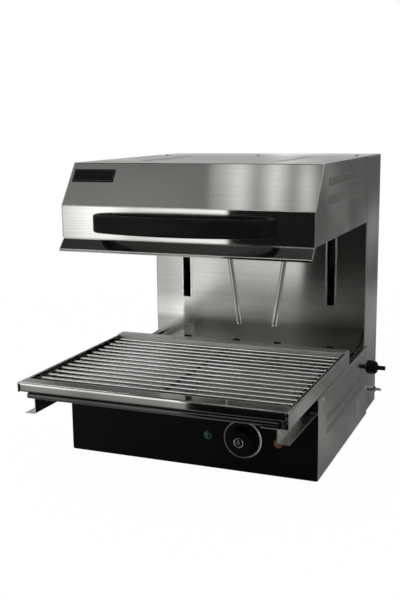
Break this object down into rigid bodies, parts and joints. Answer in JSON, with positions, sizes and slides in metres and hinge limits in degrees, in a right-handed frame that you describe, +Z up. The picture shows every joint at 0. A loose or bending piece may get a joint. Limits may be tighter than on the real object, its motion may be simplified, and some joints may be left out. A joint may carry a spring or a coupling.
{
  "type": "cheese melter",
  "caption": "Electric salamander grill with a lifting heated hood on a rear column, a slide-out wire rack with a drip tray, and a control knob in the base.",
  "frame": {"origin": "on the counter, under the middle of the casing's footprint (base and column, without rack and handle)", "axes": "+Z up, -Y towards the user (control panel), +X to the user's right, where the cable gland is"},
  "size_m": [0.4875, 0.654, 0.524],
  "materials": {
    "stainless": "brushed stainless sheet",
    "panel_black": "satin black powder coat",
    "black_plastic": "black heat-resistant moulding",
    "rubber_black": "black rubber",
    "chrome": "bright plating",
    "zinc_steel": "zinc plated",
    "brass": "plain machined brass",
    "ceramic": "off-white insulator, stands in for ceramic",
    "mat": "mineral fibre mat",
    "element_sheath": "heat-darkened sheath",
    "reflector_sheet": "aluminised sheet",
    "green_lens": "green lens",
    "amber_lens": "amber lens"
  },
  "bodies": {
    "frame": {"base_casing": "stainless", "bottom_plate": "zinc_steel", "control_panel": "panel_black", "feet": "rubber_black", "foot_screws": "zinc_steel", "casing_screws": "chrome", "runner_guides": "zinc_steel", "column_shell": "stainless", "column_front_panel": "stainless", "back_cover": "zinc_steel", "back_cover_screws": "zinc_steel", "column_top_screws": "zinc_steel", "slot_liners": "chrome", "guide_rods": "chrome", "rod_bracket_low": "zinc_steel", "rod_bracket_high": "zinc_steel", "balance_springs": "zinc_steel", "thermostat": "zinc_steel", "power_lamp": "green_lens", "heat_lamp": "amber_lens", "dial_ring_chrome": "chrome", "mains_terminal_block": "ceramic", "cable_gland": "black_plastic", "gland_locknut": "black_plastic", "gland_sleeve": "rubber_black", "bonding_stud": "zinc_steel", "bonding_nuts": "zinc_steel"},
    "hood": {"hood_wrap": "stainless", "hood_side_left": "stainless", "hood_side_right": "stainless", "hood_visor": "stainless", "hood_back_plate": "zinc_steel", "reflector": "reflector_sheet", "insulation_mat": "mat", "front_element": "element_sheath", "rear_element": "element_sheath", "element_hangers": "zinc_steel", "element_bushes": "ceramic", "element_terminal_block": "ceramic", "hood_handle": "black_plastic", "handle_screws": "zinc_steel", "carriage_left": "zinc_steel", "carriage_right": "zinc_steel", "carriage_bushes": "brass", "carriage_bolts": "zinc_steel", "hood_fixing_screws": "zinc_steel"},
    "rack": {"rack_side_left": "stainless", "rack_side_right": "stainless", "rack_front_rail": "stainless", "rack_rear_rail": "stainless", "runner_left": "stainless", "runner_right": "stainless", "runner_rivets": "chrome"},
    "rack_grid": {"grill_rods": "chrome", "grid_bars": "chrome"},
    "drip_tray": {"drip_tray": "stainless"},
    "knob": {"control_knob": "black_plastic", "knob_cap": "chrome", "thermostat_spindle": "brass"}
  },
  "joints": [
    {"name": "hood_lift", "type": "slide", "parent": "frame", "child": "hood", "axis": [0, 0, 1], "range_m": [-0.165, 0], "deforming": ["balance_springs"]},
    {"name": "rack_slide", "type": "slide", "parent": "frame", "child": "rack", "axis": [0, 1, 0], "range_m": [0, 0.148]},
    {"name": "grid_lift", "type": "slide", "parent": "rack", "child": "rack_grid", "axis": [0, 0, 1], "range_m": [0, 0.03]},
    {"name": "tray_slide", "type": "slide", "parent": "rack", "child": "drip_tray", "axis": [0, -1, 0], "range_m": [0, 0.25]},
    {"name": "knob_turn", "type": "hinge", "parent": "frame", "child": "knob", "pos_m": [0.099, -0.242, 0.064], "axis": [0, 1, 0], "range_deg": [0, 270]}
  ]
}
